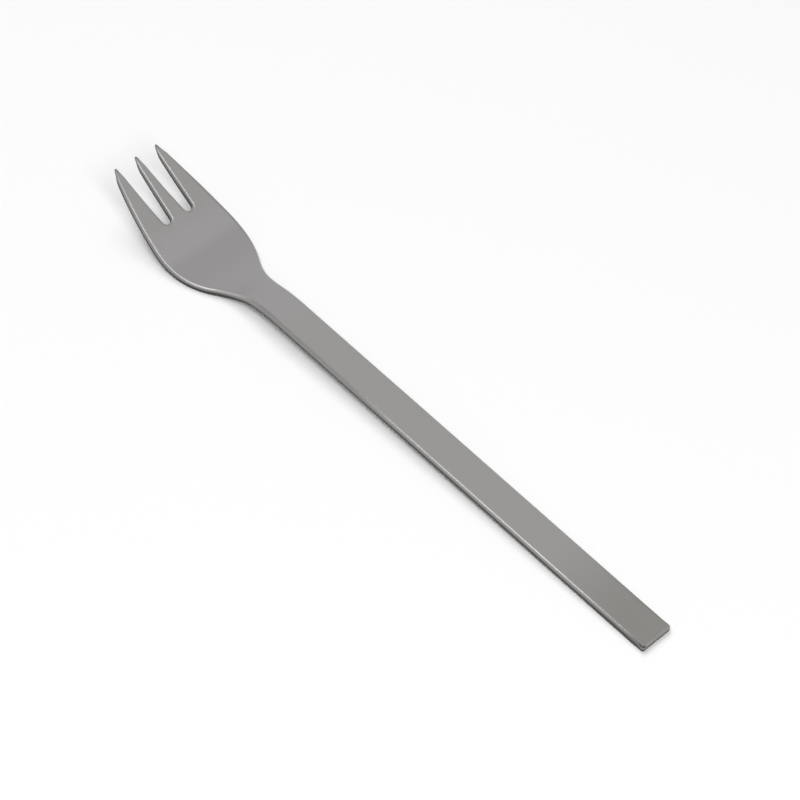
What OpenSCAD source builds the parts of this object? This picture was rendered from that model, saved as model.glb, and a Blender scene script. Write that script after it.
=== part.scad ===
// Small three-tined pastry fork: one blank of steel sheet, cut to its outline and
// then pressed, with a dropped neck, a shallow bowl and rising tines.
// Lengths are in millimetres and angles in degrees. The handle's end is at -X and
// the tips are at +X. The fork stands as it lies on a table, on the lower edge of
// the handle's end and on the underside of its bowl, both at Z = 0.

/* [Blank] */
// Length from the handle's end to the tips, along the handle
total_len = 150; // [130:1:190]
// Thickness of the sheet
stock_t = 1.5; // [1:0.1:2.4]
// Width of the handle, the same all along
handle_w = 7.3; // [5.5:0.1:10]
// Radius of the two corners at the handle's end, seen from above
end_corner_r = 0.5; // [0.2:0.1:2.5]
// Radius of the softened upper and lower edges of the handle's end
end_edge_r = 0.4; // [0.1:0.05:0.45]

/* [Head] */
// Width of the head at its widest place
head_w = 18.8; // [16.6:0.1:22]
// Distance from the tips back to the widest place
widest_back = 20.3; // [17:0.1:25]
// Radius of the hollow curve that leads from the handle into the head
neck_fillet_r = 20.5; // [14:0.5:30]
// Radius of the round shoulder
shoulder_r = 23; // [18:0.5:28]
// Radius of the long flank between the shoulder and the tip
flank_r = 108; // [80:1:160]
// Width over the outer tines at their tips
tip_span = 11.6; // [10.6:0.1:13]

/* [Tines] */
// Width of each tine at its tip, which is fully rounded
tine_tip_w = 1.1; // [0.6:0.05:1.4]
// Width of the middle tine at its root
mid_root_w = 3.6; // [2.8:0.1:4.2]
// Width of each slot at its round root
slot_w = 2; // [1.4:0.05:2.6]
// Depth of the slots, from the tips to the bottom of the roots
slot_depth = 13.95; // [10:0.05:18]

/* [Bends] */
// Distance from the tips back to where the neck starts to bend down
bend_back = 48.3; // [44:0.1:56]
// Radius of the neck's bend, on the top face
neck_bend_r = 30; // [20:0.5:38]
// Angle by which the neck drops
neck_drop_a = 21; // [16:0.5:26]
// Radius of the bowl's bend, on the top face
bowl_r = 28; // [22:0.5:36]
// Angle at which the bowl hands over to the tines
bowl_rise_a = 21; // [14:0.5:26]
// Radius of the slight bend along the tines, on the top face
tine_bend_r = 158; // [100:1:400]

/* [Hidden] */

// How far a shape that cuts runs past what it cuts
overrun = 2;
// Greatest gap left between an outline's short steps and its true curve
curve_gap = 0.004;

// Circles of the outline on the +Y side, each [x, y, radius]. A radius is negative
// where the outline hollows in around its circle.
tip_r = tine_tip_w / 2;
slot_r = slot_w / 2;
shoulder = [total_len - widest_back, head_w / 2 - shoulder_r, shoulder_r];
fillet_y = handle_w / 2 + neck_fillet_r;
fillet_reach = neck_fillet_r + shoulder_r;
fillet_run = sqrt(pow(fillet_reach, 2) - pow(fillet_y - shoulder.y, 2));
fillet = [shoulder.x - fillet_run, fillet_y, -neck_fillet_r];
end_corner = [end_corner_r, handle_w / 2 - end_corner_r, end_corner_r];
mid_tip = [total_len - tip_r, 0, tip_r];
outer_tip = [total_len - tip_r, tip_span / 2 - tip_r, tip_r];
slot_root = [total_len - slot_depth + slot_r, mid_root_w / 2 + slot_r, -slot_r];
flank = concat(meeting(shoulder, flank_r - shoulder_r, outer_tip, flank_r - tip_r), flank_r);
half_outline = [slot_root, outer_tip, flank, shoulder, fillet, end_corner];

// Circles of the side view, each [x, z, radius], with the handle level: first along
// the underside towards the tips, then back along the top
neck_c = [total_len - bend_back, stock_t - neck_bend_r];
bowl_c = neck_c + (neck_bend_r + bowl_r) * [sin(neck_drop_a), cos(neck_drop_a)];
tine_c = bowl_c + (tine_bend_r - bowl_r) * [-sin(bowl_rise_a), cos(bowl_rise_a)];
half_t = stock_t / 2;
// The sheet runs on past the tips, and the outline cuts it there
past_a = asin((total_len + overrun - tine_c.x) / tine_bend_r);
past_c = tine_c + (tine_bend_r + half_t) * [sin(past_a), -cos(past_a)];
end_under = [end_edge_r, end_edge_r, end_edge_r];
end_top = [end_edge_r, stock_t - end_edge_r, end_edge_r];
bowl_under = concat(bowl_c, bowl_r + stock_t);
side_view = [
    end_under,
    concat(neck_c, stock_t - neck_bend_r),
    bowl_under,
    concat(tine_c, tine_bend_r + stock_t),
    concat(past_c, half_t),
    concat(tine_c, -tine_bend_r),
    concat(bowl_c, -bowl_r),
    concat(neck_c, neck_bend_r),
    end_top
];

// The handle slopes by this angle when its end and the bowl both touch the table
rest_a = -heading(end_under, bowl_under);
// Lowest point and ends of the fork as it lies, if it is turned about its lower end
lying_bottom = end_edge_r * (sin(rest_a) + cos(rest_a) - 1);
lying_from = end_top.x * cos(rest_a) - end_top.y * sin(rest_a) - end_edge_r;
tip_under_z = tine_c.y - sqrt(pow(tine_bend_r + stock_t, 2) - pow(total_len - tine_c.x, 2));
lying_to = total_len * cos(rest_a) - tip_under_z * sin(rest_a);
// Span in height of the shape that cuts the outline
cut_from = bowl_c.y - bowl_under[2] - overrun;
cut_to = past_c.y + stock_t + overrun;

// The point at distance ra from a and rb from b, to the right when going from a to b
function meeting(a, ra, b, rb) =
    let (
        from = [a.x, a.y],
        gap = [b.x, b.y] - from,
        d = norm(gap),
        along = (d * d + ra * ra - rb * rb) / (2 * d),
        across = sqrt(ra * ra - along * along)
    )
    from + (along * gap + across * [gap.y, -gap.x]) / d;

// Heading of the straight line that runs from circle a on to circle b
function heading(a, b) =
    let (
        gap = [b.x - a.x, b.y - a.y],
        lean = (b[2] - a[2]) / norm(gap)
    )
    atan2(gap.y, gap.x) - asin(max(-1, min(1, lean)));

// Short steps along circle c, from one heading to another
function round_stretch(c, from, to) =
    let (
        turn = (to - from + 540) % 360 - 180,
        steps = max(1, ceil(abs(turn) / (2 * acos(1 - curve_gap / abs(c[2])))))
    )
    [
        for (i = [0 : steps])
            let (a = from + turn * i / steps)
            [c.x + c[2] * sin(a), c.y - c[2] * cos(a)]
    ];

// The outline that runs round a ring of circles, straight from each to the next
function belt(ring) =
    let (n = len(ring))
    [
        for (i = [0 : n - 1])
            let (
                before = ring[(i + n - 1) % n],
                after = ring[(i + 1) % n]
            )
            each round_stretch(ring[i], heading(before, ring[i]), heading(ring[i], after))
    ];

function mirrored(circles) =
    [for (i = [len(circles) - 1 : -1 : 0]) [circles[i].x, -circles[i].y, circles[i][2]]];

// The pressed sheet, before its sides are cut to the outline
module pressed_sheet() {
    rotate([90, 0, 0])
        linear_extrude(head_w + overrun, center = true)
            polygon(belt(side_view));
}

// The outline of the blank, seen from above, as deep as the pressed sheet
module cut_blank() {
    translate([0, 0, cut_from])
        linear_extrude(cut_to - cut_from)
            polygon(belt(concat([mid_tip], half_outline, mirrored(half_outline))));
}

module fork() {
    color([0.59, 0.585, 0.58])
        translate([-(lying_from + lying_to) / 2, 0, -lying_bottom])
            rotate([0, -rest_a, 0])
                intersection() {
                    pressed_sheet();
                    cut_blank();
                }
}

fork();
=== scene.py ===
import cmath
import math

import bmesh
import bpy
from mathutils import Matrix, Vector
from mathutils.geometry import delaunay_2d_cdt
from mathutils.kdtree import KDTree


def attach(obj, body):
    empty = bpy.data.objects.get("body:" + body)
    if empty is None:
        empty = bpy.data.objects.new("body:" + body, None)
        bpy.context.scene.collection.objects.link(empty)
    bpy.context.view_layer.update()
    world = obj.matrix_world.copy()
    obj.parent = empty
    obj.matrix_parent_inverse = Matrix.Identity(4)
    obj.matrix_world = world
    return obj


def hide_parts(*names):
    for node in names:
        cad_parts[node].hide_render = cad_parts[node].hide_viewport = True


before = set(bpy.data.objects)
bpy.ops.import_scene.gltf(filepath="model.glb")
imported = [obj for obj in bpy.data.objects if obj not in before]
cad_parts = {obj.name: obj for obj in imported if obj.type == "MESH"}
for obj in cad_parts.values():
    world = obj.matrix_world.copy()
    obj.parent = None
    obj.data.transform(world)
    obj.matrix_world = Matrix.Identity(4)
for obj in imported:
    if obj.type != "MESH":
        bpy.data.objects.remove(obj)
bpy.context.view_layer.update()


# The blank: one strip of stainless sheet, cut to the fork's outline with two slots, then
# tumbled until its edges are round. The outline is drawn as it looks from above once the
# fork is pressed, so each of its points is first moved to its place along the flat sheet.

# Lengths are in millimetres, and a flat point is written as along + across * 1j
mm = 0.001
total_len = 150
stock_t = 1.5
handle_w = 7.3
end_corner_r = 0.5
head_w = 18.8
widest_back = 20.3
neck_fillet_r = 20.5
shoulder_r = 23
flank_r = 108
tip_span = 11.6
tine_tip_w = 1.1
mid_root_w = 3.6
slot_w = 2
slot_depth = 13.95
# From the middle line of one tine to the next, at the tips
tine_pitch = (tip_span - tine_tip_w) / 2
# How far the middle of the sheet runs past the length at the tips: they lean back from it
tip_lean = 0.19
# The sides stand this much inside the drawn outline
hair = 0.007

# Bends of the middle of the sheet: radii, and the angles at which they hand over
neck_start = total_len - 48.3
neck_r = 30 - stock_t / 2
neck_drop = math.radians(21)
bowl_r = 28 + stock_t / 2
bowl_rise = math.radians(21)
tine_r = 158 + stock_t / 2
# The tines' bend would run on to this angle, and the tips end well before it
tine_turn = math.pi / 3


def meeting(a, reach_a, b, reach_b):
    """The point at those distances from a and b, to the right when going from a to b."""
    gap = b - a
    along = (abs(gap) ** 2 + reach_a**2 - reach_b**2) / (2 * abs(gap))
    across = math.sqrt(reach_a**2 - along**2)
    return a + (along - 1j * across) * gap / abs(gap)


def half_outline():
    """Circles round which the +Y side of the outline runs, from the slot to the handle's
    end, as centre and radius. The radius is negative where the outline hollows in."""
    tip_r = tine_tip_w / 2
    slot_r = slot_w / 2
    length = total_len + tip_lean
    slot_root = complex(total_len - slot_depth + slot_r, mid_root_w / 2 + slot_r)
    outer_tip = complex(length - tip_r, tip_span / 2 - tip_r)
    shoulder = complex(total_len - widest_back, head_w / 2 - shoulder_r)
    flank = meeting(shoulder, flank_r - shoulder_r, outer_tip, flank_r - tip_r)
    fillet_y = handle_w / 2 + neck_fillet_r
    fillet_run = math.sqrt((neck_fillet_r + shoulder_r) ** 2 - (fillet_y - shoulder.imag) ** 2)
    end_corner = complex(end_corner_r, handle_w / 2 - end_corner_r)
    return [
        (slot_root, -slot_r),
        (outer_tip, tip_r),
        (flank, flank_r),
        (shoulder, shoulder_r),
        (complex(shoulder.real - fillet_run, fillet_y), -neck_fillet_r),
        (end_corner, end_corner_r),
    ]


def heading(a, b):
    """Direction of the straight stretch that leads from circle a to circle b."""
    gap = b[0] - a[0]
    lean = (b[1] - a[1]) / abs(gap)
    return cmath.phase(gap) - math.asin(max(-1, min(1, lean)))


def outline(step=0.5, widest_turn=math.radians(10), same_place=1e-4):
    """Points of the whole outline, anticlockwise from above, each with its direction."""
    half = half_outline()
    mid_tip = (complex(half[1][0].real, 0), tine_tip_w / 2)
    ring = [mid_tip, *half, *[(c.conjugate(), r) for c, r in reversed(half)]]
    found = []
    for i, (centre, radius) in enumerate(ring):
        start = heading(ring[i - 1], ring[i])
        leave = heading(ring[i], ring[(i + 1) % len(ring)])
        turn = (leave - start + 3 * math.pi) % (2 * math.pi) - math.pi
        parts = max(1, math.ceil(abs(turn) / min(widest_turn, step / abs(radius))))
        for k in range(parts + 1):
            run = cmath.rect(1, start + turn * k / parts)
            found.append((centre - 1j * radius * run, run))
    border = []
    for i, (point, run) in enumerate(found):
        before = found[i - 1][0]
        pieces = math.ceil(abs(point - before) / step)
        border += [(before + (point - before) * q / pieces, run) for q in range(1, pieces)]
        if abs(point - before) > same_place:
            border.append((point, run))
    return border


def on_flat_sheet(point, run):
    """A point seen from above, and the outline's direction there, moved to the flat sheet."""
    # Each bend has its slope at the start, its radius, negative where it bends down, and
    # the angle that it turns through
    bends = [
        (0, -neck_r, neck_drop),
        (-neck_drop, bowl_r, neck_drop + bowl_rise),
        (bowl_rise, tine_r, tine_turn),
    ]
    along = min(point.real, neck_start)
    slope = 0
    plan = neck_start
    for first, radius, angle in bends:
        if point.real <= plan:
            break
        centre = plan - radius * math.sin(first)
        reach = math.asin(max(-1, min(1, (point.real - centre) / radius)))
        slope = max(reach, first - angle) if radius < 0 else min(reach, first + angle)
        along += radius * (slope - first)
        plan = centre + radius * math.sin(first + math.copysign(angle, radius))
    flat_run = complex(run.real / math.cos(slope), run.imag)
    return complex(along, point.imag), flat_run / abs(flat_run)


def ramp(value, start, end):
    """0 up to the start and 1 from the end on, with a smooth rise in between."""
    part = max(0, min(1, (value - start) / (end - start)))
    return part * part * (3 - 2 * part)


def stepped(along, first, *steps):
    """A size that begins as the first value and changes in smooth steps along the sheet.
    Each step is the change and the two places that it lies between."""
    return first + sum(change * ramp(along, start, end) for change, start, end in steps)


def edge_roll(along):
    """Width over which the upper edge rolls off at that place along the sheet. The roll is
    wide along the handle and the tines, and narrow at the end, shoulders and tips."""
    past_end = (0.4, 0.5, 2.5)
    past_held = (-0.05, 12, 26)
    neck = (0.15, 65, 80)
    shoulders = (-0.3, 108, 116)
    flanks = (0.2, 124, 129)
    tips = (-0.4, 141, 151.4)
    return stepped(along, 0.4, past_end, past_held, neck, shoulders, flanks, tips)


def land_height(along):
    """Height down to which the punch cut the side smooth; below it the steel tore, painted dark
    as shade.
    """
    past_end = (0.3, 0.4, 1.2)
    past_held = (-0.25, 4, 22)
    neck = (-0.25, 55, 80)
    shoulders = (0.3, 108, 118)
    return stepped(along, 0.25, past_end, past_held, neck, shoulders)


def side_section(along, side, turn):
    """How far in from the outline, and how high over the middle of the sheet, the edge
    stands where it has turned so far from the cut side towards the upper face, side 1, or
    the lower one, side -1. The tips are ground off from below."""
    if side > 0:
        across = edge_roll(along)
        least_depth = 0.2
        depth_for_width = 0.38
        thinned = stepped(along, 1, (-0.6, 148, 152))
        depth = (least_depth + depth_for_width * across) * thinned
        return across * (1 - math.cos(turn)), stock_t / 2 - depth * (1 - math.sin(turn))
    across = stepped(along, 0.4, (-0.25, 0.6, 3), (0.21, 148, 151.4))
    face = stepped(along, -stock_t / 2, (0.9, 150, 152.9))
    return across * (1 - math.cos(turn)), face + across * (1 - math.sin(turn))


def ground_slim(point):
    """A point of the flat sheet, moved where the tines are ground to slim tips."""
    middle = tine_pitch * round(point.imag / tine_pitch)
    slim = stepped(point.real, 1, (-0.5, 149.5, 153))
    return complex(point.real, middle + (point.imag - middle) * slim)


def net_across(border, spacing=0.6, same_place=1e-7):
    """Inner points for the sheet where it bends, and triangles over them and the border."""
    near = KDTree(len(border))
    for i, point in enumerate(border):
        near.insert((point.real, point.imag, 0), i)
    near.balance()
    points = list(border)
    clear_of_border = spacing * 0.6
    past_tips = total_len + 4
    half_rows = int(head_w / 2 / spacing)
    for i in range(int(neck_start / spacing), int(past_tips / spacing)):
        for j in range(-half_rows, half_rows + 1):
            point = spacing * complex(i, j)
            if near.find((point.real, point.imag, 0))[2] > clear_of_border:
                points.append(point)
    flat = [Vector((p.real, p.imag)) for p in points]
    ring = list(range(len(border)))
    inside_only = 1
    made = delaunay_2d_cdt(flat, [], [ring], inside_only, same_place)
    triangles, sources = made[2:4]
    return points, [[sources[v][0] for v in face] for face in triangles]


def cut_blank(name, steps_round=6, land=0.02):
    """The flat blank as a closed mesh in metres, the middle of the sheet at zero height."""
    border = [on_flat_sheet(*found) for found in outline()]
    at_face = math.pi / 2
    turns = [at_face * (1 - k / steps_round) for k in range(steps_round + 1)]
    section = [(1, at_face, land)]
    section += [(1, turn, 0) for turn in turns]
    section += [(-1, turn, 0) for turn in reversed(turns)]
    section += [(-1, at_face, land)]
    work = bmesh.new()
    tilt = work.verts.layers.float.new("tilt")
    below_land = work.verts.layers.float.new("below_land")
    rows = []
    for side, turn, inner in section:
        row = []
        for point, run in border:
            inwards, height = side_section(point.real, side, turn)
            at = ground_slim(point + 1j * run * (hair + inner + inwards))
            vert = work.verts.new((at.real * mm, at.imag * mm, height * mm))
            vert[tilt] = 1 - turn / at_face
            vert[below_land] = land_height(point.real) - height
            row.append(vert)
        rows.append(row)
    for upper, lower in zip(rows, rows[1:]):
        for i in range(len(border)):
            work.faces.new((upper[i - 1], lower[i - 1], lower[i], upper[i]))
    points, faces = net_across([complex(vert.co.x, vert.co.y) / mm for vert in rows[0]])
    for side, row in ((1, rows[0]), (-1, rows[-1])):
        verts = list(row)
        for point in points[len(border) :]:
            height = side_section(point.real, side, at_face)[1]
            verts.append(work.verts.new((point.real * mm, point.imag * mm, height * mm)))
        for face in faces:
            work.faces.new([verts[v] for v in (face if side > 0 else reversed(face))])
    for vert in [vert for vert in work.verts if not vert.link_faces]:
        work.verts.remove(vert)
    mesh = bpy.data.meshes.new(name)
    work.to_mesh(mesh)
    work.free()
    sheet = mesh.attributes.new("sheet", "FLOAT_VECTOR", "POINT")
    for vert, cell in zip(mesh.vertices, sheet.data):
        cell.vector = vert.co
    return mesh


fork = bpy.data.objects.new("pastry_fork", cut_blank("pastry_fork"))
bpy.context.scene.collection.objects.link(fork)


# The finish: satin stainless steel, brushed along the fork with a fine belt. The rounded
# edges are burnished by tumbling. Painted shade darkens the cut sides and their torn foot,
# the handle's end, the bottom of the bowl and one corner of the end, and painted highlights
# and shade on the rounded edges set how bright the light line along them is.
class Wiring:
    """Adds nodes to a tree, fed with plain values or with what other nodes give out."""

    def __init__(self, tree):
        self.nodes = tree.nodes
        self.links = tree.links

    def feed(self, value, socket):
        if isinstance(value, (int, float, tuple)):
            socket.default_value = value
        else:
            self.links.new(value, socket)

    def node(self, kind, *values, **settings):
        """A new node with those settings, its first inputs fed with the values."""
        node = self.nodes.new(kind)
        for name, setting in settings.items():
            setattr(node, name, setting)
        for value, socket in zip(values, node.inputs):
            self.feed(value, socket)
        return node

    def reckon(self, operation, *values):
        return self.node("ShaderNodeMath", *values, operation=operation).outputs[0]

    def product(self, first, *others):
        for other in others:
            first = self.reckon("MULTIPLY", first, other)
        return first

    def total(self, first, *others):
        for other in others:
            first = self.reckon("ADD", first, other)
        return first

    def rise(self, value, start, end, low=0, high=1):
        """Low up to the start and high from the end on, with a smooth rise in between."""
        kind = "ShaderNodeMapRange"
        values = (value, start, end, low, high)
        return self.node(kind, *values, interpolation_type="SMOOTHSTEP").outputs[0]

    def fall(self, value, start, end, high=1, low=0):
        """High up to the start and low from the end on, with a smooth fall in between."""
        return self.rise(value, start, end, high, low)

    def blend(self, part, colour, other):
        """The first colour where the part is 0, and the other where it is 1."""
        node = self.node("ShaderNodeMix", data_type="RGBA")
        for given, name, kind in (
            (part, "Factor", "VALUE"),
            (colour, "A", "RGBA"),
            (other, "B", "RGBA"),
        ):
            value = (*given, 1) if isinstance(given, tuple) else given
            self.feed(value, next(s for s in node.inputs if s.name == name and s.type == kind))
        return next(s for s in node.outputs if s.type == "RGBA")


def satin_steel():
    steel = bpy.data.materials.new("satin_steel")
    steel.use_nodes = True
    wiring = Wiring(steel.node_tree)
    reckon, product, total = wiring.reckon, wiring.product, wiring.total
    rise, fall, blend = wiring.rise, wiring.fall, wiring.blend
    shader = wiring.nodes["Principled BSDF"]
    shader.inputs["Metallic"].default_value = 1

    def read(name):
        return wiring.node("ShaderNodeAttribute", attribute_name=name).outputs

    def noise(name, stretch, detail):
        """Noise that follows the flat sheet, with that many waves to the metre each way."""
        scaled = wiring.node("ShaderNodeMapping", read("sheet")["Vector"])
        scaled.inputs["Scale"].default_value = stretch
        node = wiring.node("ShaderNodeTexNoise", scaled.outputs[0], label=name)
        node.inputs["Scale"].default_value = 1
        node.inputs["Detail"].default_value = detail
        return node.outputs[0]

    place = wiring.node("ShaderNodeSeparateXYZ", read("sheet")["Vector"]).outputs
    along, across = place["X"], place["Y"]
    tilt = read("tilt")["Fac"]
    below_land = read("below_land")["Fac"]
    fine = noise("fine brushing", (120, 9000, 9000), 2)
    coarse = noise("coarse brushing", (35, 1800, 1800), 1)
    clouds = noise("clouds", (70, 110, 110), 2)

    # Masks that are 1 where a tone or a finish applies. They go by how far the edge has
    # turned, and by the place along and across the flat sheet, in metres.
    rounded = product(rise(tilt, 0.04, 0.35), fall(tilt, 0.5, 0.85))
    # Painted shade: the cut sides are darker than the face
    side = rise(tilt, 0.6, 1)
    # The torn foot of each cut side is rougher, and is painted nearly black as the shade along
    # it
    torn_and_shaded = product(rise(tilt, 0.15, 0.5), rise(below_land, 0, 0.4))
    # Painted shade: darker and warmer towards the handle's end, on the face and on the edges
    painted_end_shade = fall(along, 0.006, 0.029)
    head = rise(along, 0.092, 0.104)
    # Painted shade at the bottom of the bowl
    bowl = product(rise(along, 0.116, 0.126), fall(along, 0.1275, 0.1305))
    tines = rise(along, 0.1325, 0.139)
    ground = rise(along, 0.151, 0.1525)

    # Masks for the rounded edges alone, where they are painted lighter or darker as highlights
    # and shade. Left is the +Y side, which is towards the camera.
    left = rise(across, -0.001, 0.001)
    neck = product(rise(along, 0.06, 0.082), fall(along, 0.103, 0.1135), left)
    shoulder = product(rise(along, 0.108, 0.1145), left)
    flank = rise(along, 0.1195, 0.1285)
    slots = fall(reckon("ABSOLUTE", across), 0.0047, 0.0052)
    # The place across each tine runs from the middle of one slot to the middle of the next.
    # Each slot's left edge is the -Y edge of a tine, and its round root goes with it.
    half_pitch = tine_pitch / 2 * mm
    across_tine = reckon("WRAP", across, half_pitch, -half_pitch)
    roots = fall(along, 0.137, 0.1374)
    slot_left = reckon("MAXIMUM", fall(across_tine, -0.0003, 0.0003), roots)
    slot_left = product(slots, slot_left, rise(along, 0.13, 0.135))
    slot_mouths = product(slots, rise(along, 0.141, 0.1505))
    # Painted shade along the +Y edge near the end, with a painted dark spot at its corner
    corner = product(left, fall(along, 0.0015, 0.006))
    dark_spot_side = rise(across, 0.0027, 0.0031)
    painted_dark_spot = product(dark_spot_side, fall(along, 0.0007, 0.0016))
    # A painted highlight along the top edge of the end
    end = product(fall(along, 0.0003, 0.0009), reckon("SUBTRACT", 1, dark_spot_side))

    face_tone = blend(painted_end_shade, (0.315, 0.308, 0.301), (0.256, 0.247, 0.236))
    for part, colour in (
        (head, (0.32, 0.311, 0.311)),
        (bowl, (0.296, 0.287, 0.288)),
        (tines, (0.302, 0.295, 0.292)),
        (side, (0.255, 0.249, 0.242)),
        (torn_and_shaded, (0.075, 0.073, 0.071)),
    ):
        face_tone = blend(part, face_tone, colour)
    # Painted highlights and shade on the rounded edges: darker near the handle's end, at the +Y
    # corner, at the neck and at the flanks; lighter along the end's top edge, at the shoulder,
    # along the slots' left edges and at the slot mouths
    edge_tone = blend(painted_end_shade, (0.31, 0.305, 0.297), (0.23, 0.223, 0.213))
    for part, colour in (
        (corner, (0.15, 0.146, 0.14)),
        (painted_dark_spot, (0.05, 0.049, 0.047)),
        (end, (0.31, 0.301, 0.287)),
        (shoulder, (0.41, 0.402, 0.393)),
        (neck, (0.22, 0.215, 0.21)),
        (flank, (0.235, 0.231, 0.226)),
        (slot_left, (0.3, 0.295, 0.289)),
        (slot_mouths, (0.34, 0.334, 0.327)),
    ):
        edge_tone = blend(part, edge_tone, colour)
    tone = blend(rounded, face_tone, edge_tone)
    tone = blend(ground, tone, (0.17, 0.166, 0.162))
    # The brushing and the clouds make the tone a few hundredths lighter or darker
    shade = total(product(fine, 0.03), product(coarse, 0.02), product(clouds, 0.03), 0.96)
    shaded = wiring.node("ShaderNodeVectorMath", tone, operation="SCALE")
    wiring.feed(shade, shaded.inputs["Scale"])
    wiring.feed(shaded.outputs[0], shader.inputs["Base Color"])

    # The rounded edges are smoother, but less so at the flanks, and the neck's left edge and
    # the edges near the handle's end are rougher than the brushed face
    brushed_rough = rise(fine, 0.3, 0.7, 0.33, 0.39)
    full_polish = 0.12
    near_end = fall(along, 0.004, 0.02, 0.22, 0.02)
    dull = total(product(neck, 0.3), product(flank, 0.05), near_end)
    polish = product(rounded, reckon("SUBTRACT", full_polish, dull))
    rough = reckon("SUBTRACT", total(brushed_rough, product(torn_and_shaded, 0.12)), polish)
    wiring.feed(rough, shader.inputs["Roughness"])
    brushing_depth = 1.5e-6
    bump = wiring.node("ShaderNodeBump")
    bump.inputs["Strength"].default_value = 1
    bump.inputs["Distance"].default_value = brushing_depth
    wiring.feed(total(fine, coarse), bump.inputs["Height"])
    wiring.feed(bump.outputs[0], shader.inputs["Normal"])
    return steel


# The press: the blank is rolled up at the tines, up through the bowl and down at the neck,
# and laid on the table, on the lower edge of its end and on the underside of the bowl.

# A turn about this axis lifts what lies towards the tips
lifting_axis = (0, -1, 0)


def roll_group():
    """Geometry Nodes group: everything past a start is rolled about a bar square to the
    fork, over an angle; a positive radius turns it up, and a negative one down."""
    group = bpy.data.node_groups.new("roll", "GeometryNodeTree")
    group.interface.new_socket("Position", in_out="INPUT", socket_type="NodeSocketVector")
    for name in ("Start", "Radius", "Angle"):
        group.interface.new_socket(name, in_out="INPUT", socket_type="NodeSocketFloat")
    group.interface.new_socket("Position", in_out="OUTPUT", socket_type="NodeSocketVector")
    wiring = Wiring(group)
    reckon = wiring.reckon
    given = wiring.node("NodeGroupInput").outputs
    place = wiring.node("ShaderNodeSeparateXYZ", given["Position"]).outputs
    past = reckon("SUBTRACT", place["X"], given["Start"])
    whole = reckon("MULTIPLY", reckon("ABSOLUTE", given["Radius"]), given["Angle"])
    run = reckon("MINIMUM", reckon("MAXIMUM", past, 0), whole)
    kept = reckon("SUBTRACT", place["X"], run)
    slid = wiring.node("ShaderNodeCombineXYZ", kept, place["Y"], place["Z"]).outputs[0]
    bar = wiring.node("ShaderNodeCombineXYZ", given["Start"], 0, given["Radius"]).outputs[0]
    turn = reckon("DIVIDE", run, given["Radius"])
    rolled = wiring.node("ShaderNodeVectorRotate", slid, bar, lifting_axis, turn)
    wiring.node("NodeGroupOutput", rolled.outputs[0])
    return group


def press_tree():
    """Geometry Nodes tree that presses the blank and lays the fork down."""
    tree = bpy.data.node_groups.new("press", "GeometryNodeTree")
    rolls = (
        ("Tine start", "Tine radius", "Tine turn"),
        ("Bowl start", "Bowl radius", "Bowl turn"),
        ("Neck start", "Neck radius", "Neck drop"),
    )
    tree.interface.new_socket("Blank", in_out="INPUT", socket_type="NodeSocketGeometry")
    for name in (*rolls[2], *rolls[1], *rolls[0], "Lie"):
        tree.interface.new_socket(name, in_out="INPUT", socket_type="NodeSocketFloat")
    tree.interface.new_socket("Origin", in_out="INPUT", socket_type="NodeSocketVector")
    tree.interface.new_socket("Finish", in_out="INPUT", socket_type="NodeSocketMaterial")
    tree.interface.new_socket("Fork", in_out="OUTPUT", socket_type="NodeSocketGeometry")
    wiring = Wiring(tree)
    given = wiring.node("NodeGroupInput").outputs
    position = wiring.node("GeometryNodeInputPosition").outputs[0]
    roll = roll_group()
    for names in rolls:
        sizes = [given[name] for name in names]
        position = wiring.node("GeometryNodeGroup", position, *sizes, node_tree=roll).outputs[0]
    pivot = (0, 0, 0)
    laid = wiring.node("ShaderNodeVectorRotate", position, pivot, lifting_axis, given["Lie"])
    moved = wiring.node(
        "ShaderNodeVectorMath", laid.outputs[0], given["Origin"], operation="SUBTRACT"
    )
    placed = wiring.node("GeometryNodeSetPosition", given["Blank"])
    wiring.feed(moved.outputs[0], placed.inputs["Position"])
    smooth = wiring.node("GeometryNodeSetShadeSmooth", placed.outputs[0])
    real = wiring.node("GeometryNodeRealizeInstances", smooth.outputs[0])
    painted = wiring.node("GeometryNodeSetMaterial", real.outputs[0])
    wiring.feed(given["Finish"], painted.inputs["Material"])
    wiring.node("NodeGroupOutput", painted.outputs[0])
    return tree


def resting_place(end_edge_r=0.4):
    """Slope of the handle on the table, and the point of the sloping fork that becomes
    the origin: the middle of its length, on the table."""
    bowl = complex(
        neck_start + (neck_r + bowl_r) * math.sin(neck_drop),
        stock_t / 2 - neck_r + (neck_r + bowl_r) * math.cos(neck_drop),
    )
    end_under = complex(end_edge_r, end_edge_r)
    end_top = complex(end_edge_r, stock_t - end_edge_r)
    lie = -heading((end_under, end_edge_r), (bowl, bowl_r + stock_t / 2))
    slope = cmath.rect(1, lie)
    tines = bowl + (tine_r - bowl_r) * complex(-math.sin(bowl_rise), math.cos(bowl_rise))
    under_r = tine_r + stock_t / 2
    tip_under = tines.imag - math.sqrt(under_r**2 - (total_len - tines.real) ** 2)
    lowest = end_edge_r * (math.sin(lie) + math.cos(lie) - 1)
    nearest = (end_top * slope).real - end_edge_r
    farthest = (complex(total_len, tip_under) * slope).real
    return lie, complex((nearest + farthest) / 2, lowest)


lie, origin = resting_place()
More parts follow.
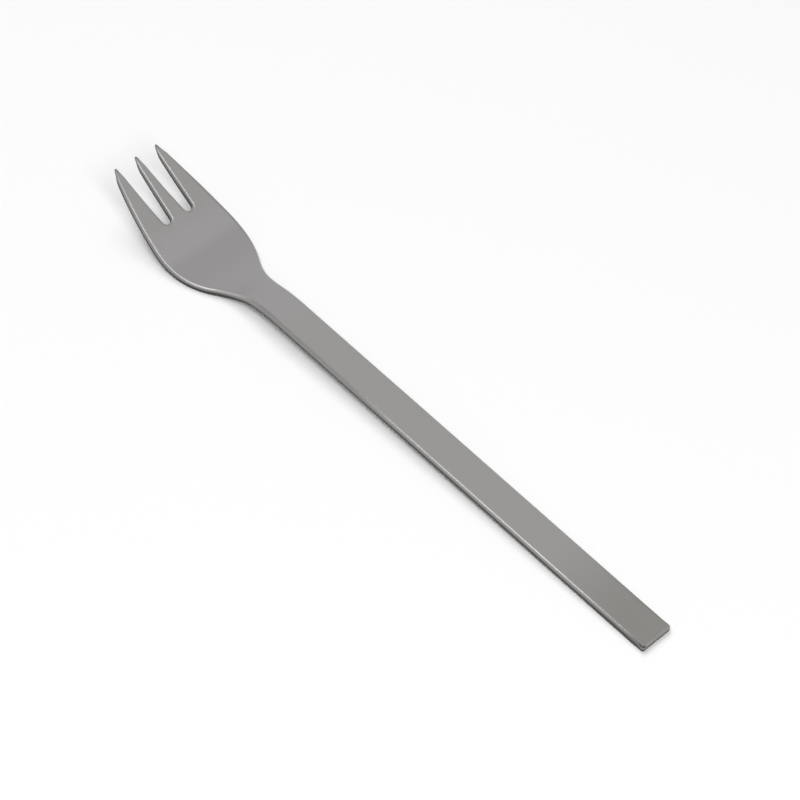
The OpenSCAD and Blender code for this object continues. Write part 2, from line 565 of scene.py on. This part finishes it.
# The sheet's middle starts at zero height, and the handle's underside is half the sheet lower
origin -= complex(0, stock_t / 2) * cmath.rect(1, lie)
bowl_start = neck_start + neck_r * neck_drop
tine_start = bowl_start + bowl_r * (neck_drop + bowl_rise)
press = fork.modifiers.new("press", "NODES")
press.node_group = press_tree()
inputs = [s for s in press.node_group.interface.items_tree if s.in_out == "INPUT"]
sockets = {s.name: s.identifier for s in inputs}
for name, value in {
    "Neck start": neck_start * mm,
    "Neck radius": -neck_r * mm,
    "Neck drop": neck_drop,
    "Bowl start": bowl_start * mm,
    "Bowl radius": bowl_r * mm,
    "Bowl turn": neck_drop + bowl_rise,
    "Tine start": tine_start * mm,
    "Tine radius": tine_r * mm,
    "Tine turn": tine_turn,
    "Lie": lie,
    "Origin": (origin.real * mm, 0, origin.imag * mm),
    "Finish": satin_steel(),
}.items():
    press[sockets[name]] = value
depsgraph = bpy.context.evaluated_depsgraph_get()
pressed = bpy.data.meshes.new_from_object(fork.evaluated_get(depsgraph))
fork.modifiers.remove(press)
fork.data = pressed
pressed.name = "pastry_fork"
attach(fork, "root")
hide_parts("fork")


# The table that the fork lies on, white and plain, seen as clear from below. Away from the
# fork, where the lamps' light gives out, the camera sees the white surround in its place.
floor_mesh = bpy.data.meshes.new("floor")
shape = bmesh.new()
bmesh.ops.create_circle(shape, cap_ends=True, radius=4, segments=96)
shape.to_mesh(floor_mesh)
shape.free()
floor = bpy.data.objects.new("floor", floor_mesh)
bpy.context.scene.collection.objects.link(floor)
white = bpy.data.materials.new("white_table")
white.use_nodes = True
table = Wiring(white.node_tree)
table_shader = table.nodes["Principled BSDF"]
table_shader.inputs["Base Color"].default_value = (0.95, 0.95, 0.95, 1)
table_shader.inputs["Roughness"].default_value = 1
table_shader.inputs["Specular IOR Level"].default_value = 0
fade_from, fade_to = 0.2, 0.8
spot = table.node("ShaderNodeNewGeometry").outputs
from_middle = table.node("ShaderNodeVectorMath", spot["Position"], operation="LENGTH")
fade = table.rise(from_middle.outputs["Value"], fade_from, fade_to)
to_camera = table.node("ShaderNodeLightPath").outputs["Is Camera Ray"]
unseen = table.reckon("MAXIMUM", table.product(fade, to_camera), spot["Backfacing"])
see_through = table.node("ShaderNodeBsdfTransparent").outputs[0]
table_mix = table.node("ShaderNodeMixShader", unseen, table_shader.outputs[0], see_through)
table.feed(table_mix.outputs[0], table.nodes["Material Output"].inputs["Surface"])
floor_mesh.materials.append(white)

# The studio: a white surround, which the steel mirrors as evenly as the camera sees it, two
# large soft lamps that the steel doesn't show, and a long one overhead that it does, which
# draws the light line along the edges on the camera's side
surround = bpy.data.worlds.new("surround")
surround.use_nodes = True
bpy.context.scene.world = surround
sky = Wiring(surround.node_tree)
ray = sky.node("ShaderNodeLightPath").outputs
mirrored = sky.reckon("MAXIMUM", ray["Is Camera Ray"], ray["Is Glossy Ray"])
looked_at = sky.reckon("MAXIMUM", mirrored, ray["Is Transmission Ray"])
lighting_strength, seen_strength = 0.2, 1
level = sky.node("ShaderNodeMapRange", looked_at, 0, 1, lighting_strength, seen_strength)
background = sky.nodes["Background"]
background.inputs["Color"].default_value = (1, 1, 1, 1)
sky.feed(level.outputs[0], background.inputs["Strength"])


def soft_lamp(name, place, size, radiance, seen_in_steel):
    """A soft box turned towards the fork, as bright to look at as radiance says."""
    lamp = bpy.data.lights.new(name, "AREA")
    lamp.shape = "ELLIPSE"
    lamp.size, lamp.size_y = size
    lamp.energy = radiance * math.pi**2 * lamp.size * lamp.size_y / 4
    holder = bpy.data.objects.new(name, lamp)
    holder.location = place
    holder.rotation_euler = (-Vector(place)).to_track_quat("-Z", "Y").to_euler()
    holder.visible_glossy = seen_in_steel
    bpy.context.scene.collection.objects.link(holder)


soft_lamp("front", (-0.98, 0.35, 0.94), size=(0.6, 0.6), radiance=10.4, seen_in_steel=False)
soft_lamp("back", (0.62, -0.3, 1.23), size=(1.1, 1.1), radiance=2.9, seen_in_steel=False)
soft_lamp("overhead", (0.03, 0.33, 0.94), size=(0.9, 0.3), radiance=3.5, seen_in_steel=True)

# The camera stands at the photograph's angle: its place round the fork from +X, its height
# above the table, its distance from the point on the table in the middle of the picture
eye_azimuth = math.radians(137.813)
eye_elevation = math.radians(50.72)
eye_distance = 0.4761
aim = Vector((-0.0021755, -0.003516, 0))
lens = bpy.data.cameras.new("camera")
lens.sensor_width = 36
lens.lens = 110.115
camera = bpy.data.objects.new("camera", lens)
back = Vector(
    (
        math.cos(eye_azimuth) * math.cos(eye_elevation),
        math.sin(eye_azimuth) * math.cos(eye_elevation),
        math.sin(eye_elevation),
    )
)
camera.location = aim + back * eye_distance
camera.rotation_euler = (-back).to_track_quat("-Z", "Y").to_euler()
bpy.context.scene.collection.objects.link(camera)
bpy.context.scene.camera = camera
bpy.context.scene.view_settings.view_transform = "Standard"
